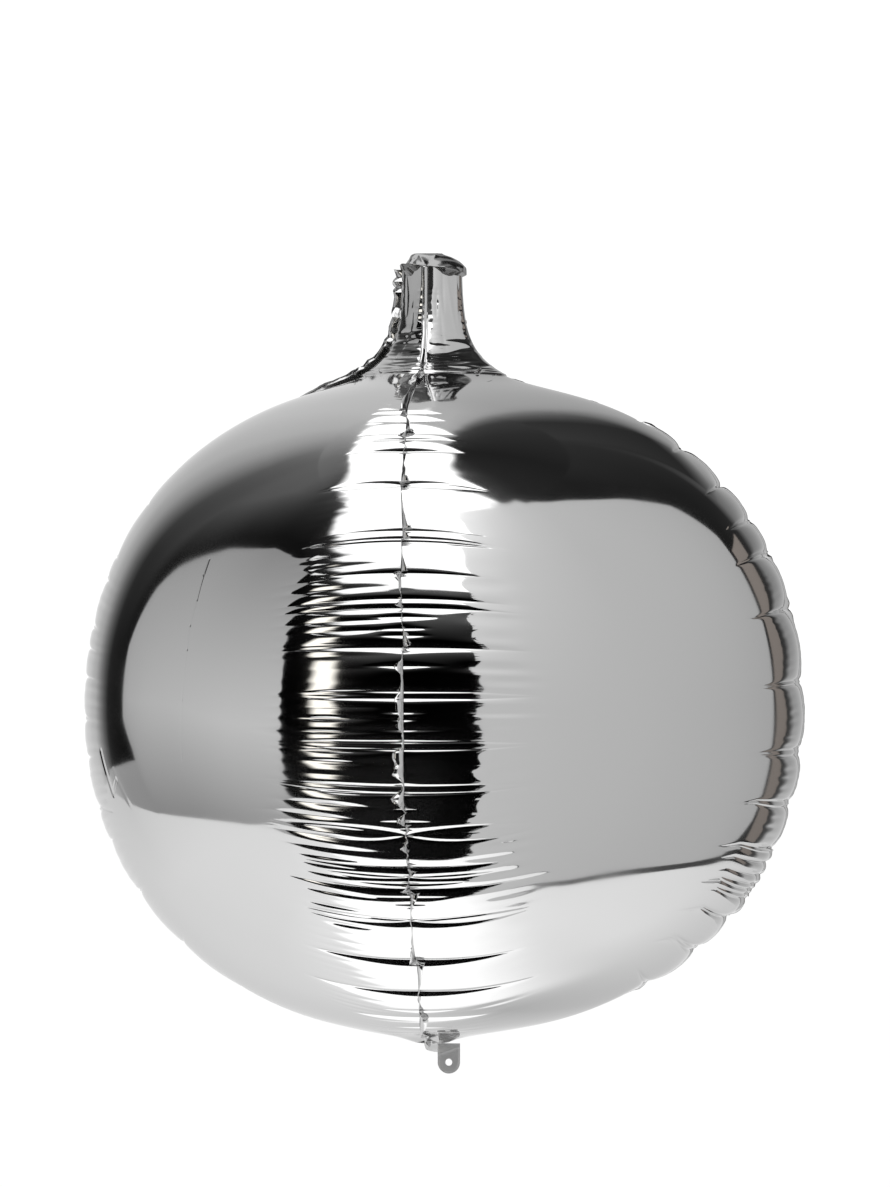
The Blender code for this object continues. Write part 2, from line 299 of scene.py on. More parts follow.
# Dents in the film of the front left gore: the pixels of the photograph at both ends, then width and depth in
# mm. The first six are one long, faint crease; the others are short kinks and waves further left.
DENTS = [
    ((209, 560), (204, 575), 1.6, 0.28),
    ((204, 575), (197, 600), 1.3, 0.15),
    ((197, 600), (190, 626), 1.3, 0.12),
    ((190, 626), (187, 650), 1.3, 0.13),
    ((187, 650), (182, 700), 1.3, 0.10),
    ((182, 700), (182, 760), 1.3, 0.07),
    ((101, 752), (113, 794), 4.0, 0.45),
    ((113, 794), (116, 780), 3.5, 0.35),
    ((114, 771), (131, 807), 4.0, 0.05),
    ((122, 773), (156, 808), 4.0, 0.04),
    ((89, 762), (91, 776), 2.4, 0.40),
    ((102, 808), (112, 811), 2.2, 0.20),
]

# Height and sideways wander in mm of the front weld: a little left at the top and right lower down.
FRONT_WANDER = [(-0.610, 0.0), (-0.590, -1.3), (-0.562, 2.0), (-0.531, 6.8), (-0.505, 6.3), (-0.453, 7.8),
                (-0.415, 6.8), (-0.365, 7.2), (-0.330, 7.0), (-0.290, 5.9), (-0.262, 4.0), (-0.240, 2.4),
                (-0.220, 2.6), (-0.184, -2.3), (-0.155, -3.0), (-0.124, -7.0), (-0.098, -4.0), (-0.088, 0.0),
                (0.0, 0.0)]


def make_wander(name):
    """Angle by which a weld strays from its own plane, at each point of the crest line."""
    if name == "front":
        heights, offsets = zip(*FRONT_WANDER)
        offset = np.interp(PROFILE.z, heights, offsets) * MM
    else:
        rng = np.random.default_rng(SEED[name] + 500)
        knots = rng.normal(0, 1.6 * MM, 12)
        offset = np.interp(PROFILE.s, np.linspace(0, FOOT_S, len(knots)), knots)
        offset *= smoothstep(FOOT_S, FOOT_S - 0.05, PROFILE.s)
        offset *= smoothstep(0.0, 0.05, PROFILE.s)
    reach = int(12 * MM / LINE_STEP)
    window = np.hanning(2 * reach + 1)
    padded = np.pad(offset, reach, mode="edge")
    offset = np.convolve(padded, window / window.sum(), mode="valid")
    return offset / PROFILE.radius


WANDER = {name: make_wander(name) for name in WELD_ORDER}


def wander(name, s):
    return np.interp(s, PROFILE.s, WANDER[name])


def row_positions(name, count):
    """Arc positions of the film's rows beside a weld, closer together at its creases and up the neck."""
    density = 1 + 1.4 * smoothstep(FOOT_S - 0.01, FOOT_S, PROFILE.s)
    for crease in CREASES[name]:
        near = np.exp(-(((PROFILE.s - s_at(crease.z)) / (3 * MM + 0.5 * abs(crease.gap))) ** 2))
        density += (1.0 if crease.reach < SHORT_CREASE else 2.2) * near
    total = np.cumsum(density)
    return np.interp(np.linspace(total[0], total[-1], count), total, PROFILE.s)


def bowed(s, from_weld):
    """Arc distance by which a crease that starts square to the weld has bowed, at some distance from it."""
    return np.minimum(from_weld, BOW_LIMIT) ** 2 * line("bow", s)


def half_swing(s):
    return QUARTER / 2 - FILM_GAP / line("radius", s)


def film_rows(low_weld, high_weld, shares, count):
    """Arc position of every point of a gore's mesh: its rows follow the creases of the nearer weld."""
    near = []
    for name, side in ((low_weld, 1), (high_weld, -1)):
        s = row_positions(name, count)[:, None]
        from_weld = half_swing(s) * (1 + side * shares[None, :]) * line("radius", s)
        near.append(s - bowed(s, from_weld))
    weight = smoothstep(-0.5, 0.5, shares)[None, :]
    return np.clip(near[0] * (1 - weight) + near[1] * weight, 0, TOP_S)


def film_point(s, swing, low_weld, high_weld):
    """Points of the smooth film of a gore at arc positions s and angles from the gore's middle."""
    across = 0.5 * (1 + np.cos(4 * swing))
    radius = line("radius", s) * (1 + line("bulge", s) * across)
    lean_low = wander(low_weld, s) * np.cos(swing + QUARTER / 2) ** 2
    lean_high = wander(high_weld, s) * np.cos(swing - QUARTER / 2) ** 2
    angle = AZIMUTH[low_weld] + QUARTER / 2 + swing + lean_low + lean_high
    x = radius * np.cos(angle) + line("shift", s)
    return np.stack([x, radius * np.sin(angle), line("z", s)], axis=-1)


def grid_normals(points):
    normals = np.cross(np.gradient(points, axis=1), np.gradient(points, axis=0))
    return normals / np.linalg.norm(normals, axis=-1, keepdims=True)


def film_places(pixels):
    """The points of the front left gore's smooth film that show at some pixels of the photograph."""
    swing = np.linspace(-1, 1, 1801) * half_swing(PROFILE.s)[:, None]
    points = film_point(np.broadcast_to(PROFILE.s[:, None], swing.shape), swing, "left", "front")
    right = np.array([math.cos(CAMERA_AZIMUTH), math.sin(CAMERA_AZIMUTH), 0])
    ahead = np.array([-math.sin(CAMERA_AZIMUTH), math.cos(CAMERA_AZIMUTH), 0])
    sight = points - np.array([CAMERA_X, 0, CAMERA_Z]) + ahead * CAMERA_DISTANCE
    scale = PHOTO_HEIGHT * CAMERA_DISTANCE / VIEW_HEIGHT / (sight @ ahead)
    x = PHOTO_WIDTH / 2 + scale * (sight @ right)
    y = PHOTO_HEIGHT / 2 - scale * sight[..., 2]
    hidden = (sight * grid_normals(points)).sum(axis=-1) > 0
    places = {}
    for pixel in pixels:
        away = np.where(hidden, np.inf, np.hypot(x - pixel[0], y - pixel[1]))
        places[pixel] = Vector(points[np.unravel_index(np.argmin(away), away.shape)])
    return places


def groove(distance, width):
    """A crease's cross-section: sharp at the bottom, running out softly."""
    gap = distance / width
    return np.exp(GROOVE_ROUNDING - np.sqrt(gap**2 + GROOVE_ROUNDING**2))


def add_groove(field, along, from_weld, s, depth, width, window):
    """Adds one groove at arc position s, faded by a window of distances from the weld."""
    rows = np.nonzero(np.abs(along - s).min(axis=1) < 7 * width)[0]
    if len(rows):
        part = slice(rows[0], rows[-1] + 1)
        field[part] += depth * window(from_weld[part]) * groove(along[part] - s, width)


def main_creases(field, name, along, from_weld):
    """The creases across a weld; a double one opens into two lines, which meet again at its ends."""
    for crease in CREASES[name]:
        s = s_at(crease.z)
        reach = line("band", s) * crease.reach
        rows = np.nonzero(np.abs(along - s).min(axis=1) < 7 * crease.width + abs(crease.gap))[0]
        part = slice(rows[0], rows[-1] + 1)
        near = np.clip(1 - from_weld[part] / reach, 0, 1)
        width = crease.width * (0.35 + 0.65 * near)
        depth = crease.depth * near**0.8
        open_share = np.clip(2.2 * near, 0, 1) if crease.gap >= 0 else 4 * near * (1 - near)
        opening = 0.5 * abs(crease.gap) * open_share**0.7
        off = np.abs(along[part] - s) - opening
        field[part] += depth * groove(off, width) * (0.75 if crease.gap else 1.0)


def pillows(field, name, along, from_weld):
    """The film's soft pillows between the creases of a weld."""
    edges = np.array([s_at(crease.z) for crease in CREASES[name] if crease.reach > SHORT_CREASE])
    fade = np.clip(1 - (from_weld / line("band", along)) ** 2, 0, 1) ** 2
    cell = np.clip(np.searchsorted(edges, along), 1, len(edges) - 1)
    low, high = edges[cell - 1], edges[cell]
    half = 0.5 * (high - low)
    share = np.clip((along - 0.5 * (low + high)) / half, -1, 1)
    below, waist, top = PILLOW_ARCH[name]
    arch = np.interp(line("z", along), [-0.46, -0.44, -0.22, -0.16], [below, waist, waist, top])
    field += np.minimum(half**2 / (2 * arch), PILLOW_LIMIT[name]) * share**2 * fade


def ripple_strength(s):
    """Ripples are deep round the waist, and shallow on the upper shoulder and towards the tail."""
    z = line("z", s)
    return (0.1 + 0.9 * smoothstep(-0.215, -0.270, z)) * (1 - 0.75 * smoothstep(-0.470, -0.520, z))


def ripples(field, name, side, along, from_weld):
    """Fine ripples: a row of small arches, strongest some way out from a weld, and short dents beside it."""
    kind = RIPPLES[(name, side)]
    rng = np.random.default_rng(SEED[name] * 10 + side + 1)
    edges = 0.03 + np.cumsum(rng.uniform(*kind.pitch, 400)) * MM
    edges = edges[edges < FOOT_S - 0.030]
    pitch = np.gradient(edges)
    band = line("band", edges)
    depth = 0.25 * kind.slope * pitch * rng.uniform(0.35, 1.5, len(edges)) * ripple_strength(edges)
    if name == "front" and side < 0:
        depth *= 1 - 0.9 * np.exp(-(((line("z", edges) + 0.3145) / 0.012) ** 2))
    middle = band * (kind.middle + rng.normal(0, 0.05, len(edges)))
    spread = np.minimum(0.4 * band, kind.spread * rng.uniform(0.75, 1.25, len(edges)))
    cell = np.clip(np.searchsorted(edges, along), 1, len(edges) - 1)
    share = 2 * (along - edges[cell - 1]) / (edges[cell] - edges[cell - 1]) - 1
    edge = np.where(share > 0, cell, cell - 1)
    away = (from_weld - middle[edge]) / spread[edge]
    away = np.where(away > 0, away * 1.3, away)
    share = np.clip(share, -1, 1)
    arch = (1 - kind.round) * share**2 + kind.round * 0.5 * (1 - np.cos(math.pi * share))
    arches = depth[edge] * arch * np.exp(-(away**2))
    field += np.where((along > edges[0]) & (along < edges[-1]), arches, 0)
    shared = np.random.default_rng(SEED[name] * 10)
    s = 0.03
    while s < FOOT_S - 0.02:
        s += shared.uniform(5.0, 13.0) * MM
        dent = shared.uniform(0.10, 0.40) * MM * ripple_strength(s)
        reach = rng.uniform(4, 13) * MM
        add_groove(field, along, from_weld, s, dent, 1.0 * MM, lambda u: np.exp(-((u / reach) ** 2)))


def neck_puckers(field, name, side, along, from_weld):
    """Short dents side by side up the neck, just beside a weld, where its film is drawn together."""
    rng = np.random.default_rng(SEED[name] * 20 + side + 1)
    s = FOOT_S + 0.022
    while s < TOP_S - 0.020:
        s += rng.uniform(3.5, 7.0) * MM
        middle, reach = rng.uniform(5, 7) * MM, rng.uniform(2.5, 5.0) * MM
        dent = rng.uniform(0.15, 0.45) * MM
        add_groove(field, along, from_weld, s, dent, 1.0 * MM,
                   lambda u: np.exp(-(((u - middle) / reach) ** 2)))


def fold_depth(fold, across, up):
    """Depth of one fold at points of a neck strip."""
    run = (across - fold.across) * math.cos(fold.angle) + (up - fold.up) * math.sin(fold.angle)
    off = (up - fold.up) * math.cos(fold.angle) - (across - fold.across) * math.sin(fold.angle)
    near = np.clip(1 - np.abs(run) / fold.half_length, 0, 1)
    return fold.depth * near**0.8 * groove(off, fold.width * (0.4 + 0.6 * near))


def neck_folds(number):
    """The folds of one strip of the neck: lengthwise ones up the tube and level pleats round its foot."""
    rng = np.random.default_rng(700 + number)
    made = []
    for _ in range(5):
        angle = QUARTER + rng.normal(0, 0.12)
        made.append(Fold(rng.uniform(-13, 13) * MM, rng.uniform(35, 78) * MM, angle, rng.uniform(12, 28) * MM,
                         rng.uniform(0.3, 0.8) * MM * rng.choice([-1, 1]), rng.uniform(1.2, 2.2) * MM))
    for up in np.arange(8, 44, 3.2):
        made.append(Fold(rng.uniform(-20, 20) * MM, (up + rng.uniform(-1, 1)) * MM, rng.normal(0, 0.07),
                         rng.uniform(18, 34) * MM, (1.9 - up / 32) * rng.uniform(0.7, 1.3) * MM,
                         rng.uniform(1.4, 2.2) * MM))
    for up, depth in ((3.0, 1.2), (6.5, 0.7)):
        made.append(Fold(rng.uniform(-4, 4) * MM, up * MM, rng.normal(0, 0.02),
                         46 * MM, depth * MM, 1.1 * MM))
    return made


def weld_depth(name, side, along, from_weld):
    """Depth of the film below its smooth shape, on one side of a weld."""
    field = np.zeros_like(from_weld)
    main_creases(field, name, along, from_weld)
    pillows(field, name, along, from_weld)
    ripples(field, name, side, along, from_weld)
    neck_puckers(field, name, side, along, from_weld)
    return field


def mesh_object(name, points, faces, finish):
    mesh = bpy.data.meshes.new(name)
    mesh.from_pydata(points.reshape(-1, 3).tolist(), [], faces)
    mesh.shade_smooth()
    mesh.materials.append(finish)
    made = bpy.data.objects.new(name, mesh)
    bpy.context.scene.collection.objects.link(made)
    return made


def grid_faces(rows, columns, closed=False, capped=False):
    """Quads of a grid; closed joins its last column to the first, and capped fills its end rows."""
    index = np.arange(rows * columns).reshape(rows, columns)
    right = np.roll(index, -1, axis=1) if closed else index[:, 1:]
    left = index if closed else index[:, :-1]
    quads = np.stack([left[:-1], right[:-1], right[1:], left[1:]], axis=-1)
    caps = [index[0, ::-1].tolist(), index[-1].tolist()] if capped else []
    return quads.reshape(-1, 4).tolist() + caps


def build_gore(number, finish):
    name = QUARTER_NAMES[number]
    low_weld, high_weld = WELD_ORDER[number], WELD_ORDER[(number + 1) % 4]
    half = 1 - (1 - np.linspace(0, 1, HALF_COLUMNS)) ** COLUMN_POWER
    shares = np.concatenate([-half[:0:-1], half])
    s = film_rows(low_weld, high_weld, shares, FRONT_ROWS if "front" in name else BACK_ROWS)
    swing = shares[None, :] * half_swing(s)
    points = film_point(s, swing, low_weld, high_weld)
    normals = grid_normals(points)
    depth = np.zeros_like(s)
    for weld, side, columns in ((low_weld, 1, shares <= 0), (high_weld, -1, shares >= 0)):
        from_weld = ((half_swing(s) + side * swing) * line("radius", s))[:, columns]
        along = s[:, columns] + bowed(s[:, columns], from_weld)
        depth[:, columns] += weld_depth(weld, side, along, from_weld)
    neck = s > FOOT_S - 0.03
    across = swing * line("radius", s)
    hold = smoothstep(0, 4 * MM, (half_swing(s) - np.abs(swing)) * line("radius", s))
    for fold in neck_folds(number):
        depth[neck] += (fold_depth(fold, across[neck], s[neck] - FOOT_S) * hold[neck])
    points = points - normals * depth[..., None]
    made = mesh_object(f"film_{name}", points, grid_faces(*depth.shape), finish)
    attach(made, "envelope")
    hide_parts(f"gore_{name}", f"neck_{name}")


def smooth_noise(rng, s, pitch):
    knots = rng.normal(0, 1, int(TOP_S / pitch) + 3)
    return np.interp(s, np.arange(len(knots)) * pitch, knots)


def fin_wedges(name, s, rng):
    """Lean of a fin that stands straight but bends over towards one end of each pillow, like a thin wedge."""
    lean = 0.10 * smooth_noise(rng, s, 4 * MM)
    edges = [0.0] + [s_at(crease.z) for crease in CREASES[name] if crease.reach > SHORT_CREASE] + [FOOT_S]
    for low, high in zip(edges, edges[1:]):
        share = (s - low) / (high - low)
        inside = (share >= 0) & (share < 1)
        share = np.clip(share if rng.random() < 0.5 else 1 - share, 0, 1)
        tip = rng.choice([-1, 1, 1]) * rng.uniform(1.1, 1.45)
        lean += np.where(inside, tip * share ** rng.uniform(1.5, 3.5), 0)
    return np.convolve(np.pad(lean, 2, mode="edge"), np.ones(5) / 5, mode="valid")


def fin_shape(name, s, rng):
    """Lean and width of a fin along its length."""
    lean = fin_wedges(name, s, rng)
    width = FIN_WIDTH * (1 + 0.08 * smooth_noise(rng, s, 6 * MM))
    on_neck = smoothstep(FOOT_S, FOOT_S + 0.012, s)
    held = {"front": -1.15, "right": 0.5, "back": 0.9, "left": 0.0}[name]
    if name == "front":
        width *= 1.2 - 0.8 * np.exp(-(((s - FOOT_S + 0.035) / 0.022) ** 2))
        lower = smoothstep(*s_at(CRUSHED_TOP), s) * smoothstep(*s_at(CRUSHED_BOTTOM), s)
        crushed = -0.75 + 0.7 * np.clip(smooth_noise(rng, s, 5.0 * MM), -0.9, 1.8)
        lean = lean * (1 - lower) + crushed * lower
        width *= 1 + lower * np.clip(0.9 * smooth_noise(rng, s, 6 * MM), -0.75, 0.3)
        width *= 1 + 0.35 * np.abs(np.clip(lean, -1.4, 1.4)) * (1 - on_neck)
    if name == "right":
        lean = 1.35 - 0.6 * np.clip(smooth_noise(rng, s, 14 * MM) - 0.4, 0, 1)
        width *= 0.8 - 0.8 * on_neck * np.clip(0.75 + 0.5 * smooth_noise(rng, s, 3.5 * MM), 0.2, 0.9)
    if name == "left":
        shoulder = smoothstep(s_at(-0.115), s_at(-0.100), s)
        crushed = 0.55 * smooth_noise(rng, s, 4.0 * MM) * smoothstep(FOOT_S + 0.030, FOOT_S + 0.045, s)
        lean = -1.15 * (1 - shoulder) + (crushed + 0.05 * smooth_noise(rng, s, 9 * MM)) * shoulder
        width *= 1 + 1.0 * shoulder * (1 + 0.10 * smooth_noise(rng, s, 7 * MM))
        return lean, width
    return np.clip(lean, -1.4, 1.4) * (1 - 0.85 * on_neck) + held * on_neck, width


def build_fin(name, finish):
    rng = np.random.default_rng(SEED[name] + 100)
    s = row_positions(name, BACK_ROWS if name == "back" else FRONT_ROWS)
    field = weld_depth(name, 1, s[:, None], np.zeros((len(s), 1)))[:, 0]
    angle = AZIMUTH[name] + wander(name, s)
    toward = np.stack([np.cos(angle), np.sin(angle), np.zeros_like(s)], axis=-1)
    sideways = np.stack([-np.sin(angle), np.cos(angle), np.zeros_like(s)], axis=-1)
    up = np.array([0, 0, 1.0])
    normal = line("out", s)[:, None] * toward + line("up", s)[:, None] * up
    crest = line("radius", s)[:, None] * toward + line("z", s)[:, None] * up
    crest[:, 0] += line("shift", s)
    lean, width = fin_shape(name, s, rng)
    shares = np.linspace(-FIN_ROOT / FIN_WIDTH, 1, FIN_COLUMNS)
    around = []
    for face in (1, -1):
        for share in (shares if face > 0 else shares[::-1]):
            tilt = lean * max(share, 0) ** 0.5
            sink = field * (1 - 0.35 * max(share, 0))
            direction = normal * np.cos(tilt)[:, None] + sideways * np.sin(tilt)[:, None]
            across = sideways * np.cos(tilt)[:, None] - normal * np.sin(tilt)[:, None]
            around.append(crest - normal * sink[:, None] + direction * (share * width)[:, None]
                          + across * face * FIN_HALF_THICKNESS)
    points = np.stack(around, axis=1)
    faces = grid_faces(*points.shape[:2], closed=True, capped=True)
    made = mesh_object(f"fin_{name}", points, faces, finish)
    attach(made, "envelope")
    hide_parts(f"weld_{name}")


def crumple(points, normals, rng, count, depth, width, reach):
    """Presses sharp, short folds of random directions into a thin body's surface."""
    field = np.zeros(points.shape[:-1])
    flat = points.reshape(-1, 3)
    for _ in range(count):
        middle = flat[rng.integers(len(flat))]
        run = rng.normal(0, 1, 3)
        run /= np.linalg.norm(run)
        side = np.cross(run, rng.normal(0, 1, 3))
        side /= np.linalg.norm(side)
        offset = points - middle
        near = np.clip(1 - np.linalg.norm(offset, axis=-1) / (reach * rng.uniform(0.6, 1.4)), 0, 1)
        field += depth * rng.uniform(-1, 1) * near * groove(offset @ side, width * rng.uniform(0.6, 1.4))
    return points - normals * field[..., None]


def build_neck_fold(finish):
    """The neck's open end, folded over into a lid that overhangs the front and runs up to a short ridge."""
    levels = np.concatenate([np.linspace(0, 0.12, 8), np.linspace(0.12, 1, 40)[1:]])
    knots = [0, 0.12, 0.35, 0.62, 0.86, 1]
    heights = np.interp(levels, knots, [-20.0, -15.0, -11.5, -7.0, -2.3, -0.1]) * MM
    left = np.interp(levels, knots, [19.0, 24.6, 23.0, 19.9, 16.8, 13.8]) * MM
    right = np.interp(levels, knots, [19.0, 25.8, 25.2, 19.9, 11.5, 7.6]) * MM
    depth = np.interp(levels, knots, [18.0, 23.6, 20.0, 14.5, 7.5, 1.6]) * MM
    angle = np.linspace(0, 4 * QUARTER, 160, endpoint=False)
    cosine, sine = np.cos(angle), np.sin(angle)
    across = np.sign(cosine) * np.abs(cosine) ** 0.75
    ahead = np.sign(sine) * np.abs(sine) ** 0.85
    x = np.where(across > 0, right[:, None], left[:, None]) * across
    y = depth[:, None] * ahead
    overhang = np.exp(-(((levels - 0.14) / 0.10) ** 2))[:, None]
    z = heights[:, None] + overhang * (-3.0 * MM * across - 1.5 * MM * ahead + 2.0 * MM)
    points = np.stack([x, y, z], axis=-1)
    normals = grid_normals(np.concatenate([points, points[:, :1]], axis=1))[:, :-1]
    rng = np.random.default_rng(71)
    points = crumple(points, normals, rng, 46, 1.5 * MM, 1.6 * MM, 14 * MM)
    points[..., 2] = np.minimum(points[..., 2], -0.05 * MM)
    faces = grid_faces(*points.shape[:2], closed=True, capped=True)
    made = mesh_object("neck_lid", points, faces, finish)
    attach(made, "envelope")
    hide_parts("neck_fold")


def build_tail_gather(finish):
    """The gathered ends of the gores under the bottom: a thin disc pleated towards its rim."""
    rng = np.random.default_rng(81)
    angle = np.linspace(0, 4 * QUARTER, TAIL_COLUMNS, endpoint=False)
    waves = (4, 9, 13, 21, 30)
    pleats = sum(rng.uniform(0.3, 1.0) * np.cos(n * angle + rng.uniform(0, 6.3)) for n in waves) / len(waves)
    rim = GATHER_RADIUS * (1 + 0.05 * pleats)
    shares = np.concatenate([np.linspace(0.04, 1, TAIL_ROWS), np.linspace(1, 0.04, TAIL_ROWS)])
    below = np.arange(2 * TAIL_ROWS) < TAIL_ROWS
    radius = shares[:, None] * rim
    lift = 0.5 * MM * shares[:, None] ** 2 * (1 + 0.5 * pleats)
    z = TAIL_Z + lift + np.where(below, -TAIL_HALF_THICKNESS, TAIL_HALF_THICKNESS)[:, None]
    points = np.stack([radius * np.cos(angle), radius * np.sin(angle), z], axis=-1)
    faces = grid_faces(*points.shape[:2], closed=True, capped=True)
    made = mesh_object("tail_gather", points, faces, finish)
    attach(made, "envelope")
    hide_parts("tail_weld")


def tab_outline(angle, radius, top):
    """Distance from a tab's hole centre to its edge: round below, straight sides and a straight top above."""
    rise, run = np.sin(angle), np.abs(np.cos(angle))
    beside = radius / np.maximum(run, 1e-6)
    above = top / np.maximum(rise, 1e-6)
    return np.where(rise > 0, np.minimum(beside, above), radius)


def tab_sheet(name, radius, top, hole, shape, finish):
    """A thin sheet with a round lower end, laid out flat round its hole and then bent by a shape function."""
    angle = np.sort(np.concatenate([
        np.linspace(0, 4 * QUARTER, 120, endpoint=False),
        [math.atan2(top, radius), math.atan2(top, -radius)],
    ]))
    shares = np.linspace(0, 1, 26)
    distance = hole + (tab_outline(angle, radius, top) - hole) * shares[:, None]
    x, z = distance * np.cos(angle), distance * np.sin(angle)
    from_edge = (tab_outline(angle, radius, top) - hole) * (1 - shares[:, None])
    relief = 0.10 * MM * np.cos(2 * math.pi * np.clip(from_edge / (1.6 * MM), 0, 1))
    front = shape(x, z, -TAB_HALF_THICKNESS - relief)
    rear = shape(x, z, TAB_HALF_THICKNESS - relief)
    points = np.concatenate([front, rear[::-1]])
    rows, columns = points.shape[:2]
    faces = grid_faces(rows, columns, closed=True)
    index = np.arange(columns)
    following = np.roll(index, -1)
    last = (rows - 1) * columns
    faces += np.stack([last + index, last + following, following, index], axis=-1).tolist()
    return mesh_object(name, points, faces, finish)


def build_tabs(finish):
    """The hole tab with its root and crease, and the plain tab folded back under the tail."""
    rng = np.random.default_rng(91)
    slope = (CREASE_RIGHT_Z - CREASE_LEFT_Z) / (2 * TAB_RADIUS)
    middle = 0.5 * (CREASE_RIGHT_Z + CREASE_LEFT_Z)

    def hang(x, z, y):
        below = (TAB_HOLE_Z + z) - (middle + slope * x)
        bend = 0.9 * MM * np.exp(-np.abs(below) / (2.2 * MM))
        curl = 0.5 * MM * (x / TAB_RADIUS) ** 2 - 0.6 * MM * np.clip(-below / (14 * MM), 0, 1) ** 2
        return np.stack([TAB_X + x, TAB_Y + y - bend + curl, TAB_HOLE_Z + z], axis=-1)

    made = tab_sheet("tab_film", TAB_RADIUS, TAB_TOP_Z - TAB_HOLE_Z, TAB_HOLE_RADIUS, hang, finish)
    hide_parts("tab_root", "hole_tab")
    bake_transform(made)

    length = SECOND_TAB_LENGTH - SECOND_TAB_RADIUS
    phase = rng.uniform(0, 6, 2)

    def lean(x, z, y):
        down = length - z
        wave = 0.35 * MM * np.sin(x / (2.6 * MM) + phase[0]) * np.sin(down / (5 * MM) + phase[1])
        off = y + wave * np.clip(down / (6 * MM), 0, 1)
        return np.stack([
            SECOND_TAB_X + x,
            SECOND_TAB_Y + down * math.sin(SECOND_TAB_LEAN) + off * math.cos(SECOND_TAB_LEAN),
            TAB_TOP_Z - down * math.cos(SECOND_TAB_LEAN) + off * math.sin(SECOND_TAB_LEAN) - 0.5 * MM,
        ], axis=-1)

    made = tab_sheet("second_tab_film", SECOND_TAB_RADIUS, length, 0.3 * MM, lean, finish)
    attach(made, "envelope")
    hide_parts("second_tab")


def add_node(tree, kind, operation, *values, **named):
    """Adds a maths node, with numbers or other nodes' outputs as its inputs, in order or by name."""
    made = tree.nodes.new(kind)
    made.operation = operation
    pairs = list(zip(made.inputs, values)) + [(made.inputs[key], value) for key, value in named.items()]
    for socket, value in pairs:
        if isinstance(value, bpy.types.NodeSocket):
            tree.links.new(value, socket)
        else:
            socket.default_value = value
    return made


def dent_height(tree, place):
    """Height in mm of the dents at a point of the film, as a node's output."""
    places = film_places({pixel for dent in DENTS for pixel in dent[:2]})
    total = 0.0
    for start, end, width, depth in DENTS:
        run = places[end] - places[start]
        off = add_node(tree, "ShaderNodeVectorMath", "SUBTRACT", place, places[start]).outputs["Vector"]
        along = add_node(tree, "ShaderNodeVectorMath", "DOT_PRODUCT", off, run / run.length_squared)
        share = add_node(tree, "ShaderNodeMath", "MULTIPLY", along.outputs["Value"], 1.0)
        share.use_clamp = True
        foot = add_node(tree, "ShaderNodeVectorMath", "SCALE", run, Scale=share.outputs["Value"])
        apart = add_node(tree, "ShaderNodeVectorMath", "DISTANCE", off, foot.outputs["Vector"])
        shape = tree.nodes.new("ShaderNodeMapRange")
        shape.interpolation_type = "SMOOTHSTEP"
        fill(shape, From_Max=width * MM, To_Min=-depth, To_Max=0.0)
        tree.links.new(apart.outputs["Value"], shape.inputs["Value"])
        total = add_node(tree, "ShaderNodeMath", "ADD", shape.outputs["Result"], total).outputs["Value"]
    return total


def dent_film(made):
    """Presses the dents of the front left gore into the film's shading."""
    tree = made.node_tree
    relief = fill(tree.nodes.new("ShaderNodeBump"), Strength=1.0, Distance=MM)
    place = next(node for node in tree.nodes if node.type == "TEX_COORD").outputs["Object"]
    tree.links.new(dent_height(tree, place), relief.inputs["Height"])
    tree.links.new(relief.outputs["Normal"], tree.nodes["Principled BSDF"].inputs["Normal"])


def new_material(name):
    made = bpy.data.materials.new(name)
    made.use_nodes = True
    return made, made.node_tree.nodes, made.node_tree.links


def fill(node, **values):
    """Sets some of a node's inputs, whose names are written with underscores for spaces."""
    for key, value in values.items():
        node.inputs[key.replace("_", " ")].default_value = value
    return node


def film_material(name, tone, sharp, soft, bump, metallic=1.0):
    """Metallised film: a mirror whose gloss varies a little; a bump adds a very fine unevenness."""
    made, nodes, links = new_material(name)
    shader = fill(nodes["Principled BSDF"], Base_Color=(tone, tone, tone, 1.0), Metallic=metallic,
                  Specular_Tint=(*EDGE_TINT, 1.0))
    place = nodes.new("ShaderNodeTexCoord")
    cloud = fill(nodes.new("ShaderNodeTexNoise"), Scale=9.0, Detail=3.0)
    gloss = fill(nodes.new("ShaderNodeMapRange"), From_Min=0.35, From_Max=0.65, To_Min=sharp, To_Max=soft)
    links.new(place.outputs["Object"], cloud.inputs["Vector"])
    links.new(cloud.outputs["Fac"], gloss.inputs["Value"])
    links.new(gloss.outputs["Result"], shader.inputs["Roughness"])
    if bump:
        grain = fill(nodes.new("ShaderNodeTexNoise"), Scale=140.0, Detail=2.0)
        relief = fill(nodes.new("ShaderNodeBump"), Strength=1.0, Distance=bump)
        links.new(place.outputs["Object"], grain.inputs["Vector"])
        links.new(grain.outputs["Fac"], relief.inputs["Height"])
        links.new(relief.outputs["Normal"], shader.inputs["Normal"])
    return made


def build_camera():
    data = bpy.data.cameras.new("camera")
    data.sensor_fit = "VERTICAL"
    data.sensor_height = SENSOR
    data.lens = SENSOR * CAMERA_DISTANCE / VIEW_HEIGHT
    camera = bpy.data.objects.new("camera", data)
    direction = Vector((math.sin(CAMERA_AZIMUTH), -math.cos(CAMERA_AZIMUTH), 0))
    camera.location = direction * CAMERA_DISTANCE + Vector((CAMERA_X, 0, CAMERA_Z))
    camera.rotation_euler = (math.pi / 2, 0, CAMERA_AZIMUTH)
    bpy.context.scene.collection.objects.link(camera)
    bpy.context.scene.camera = camera


def build_world():
    world = bpy.data.worlds.new("studio")
    bpy.context.scene.world = world
    world.use_nodes = True
    fill(world.node_tree.nodes["Background"], Color=(1, 1, 1, 1), Strength=WORLD_STRENGTH)
    bpy.context.scene.view_settings.view_transform = "Standard"


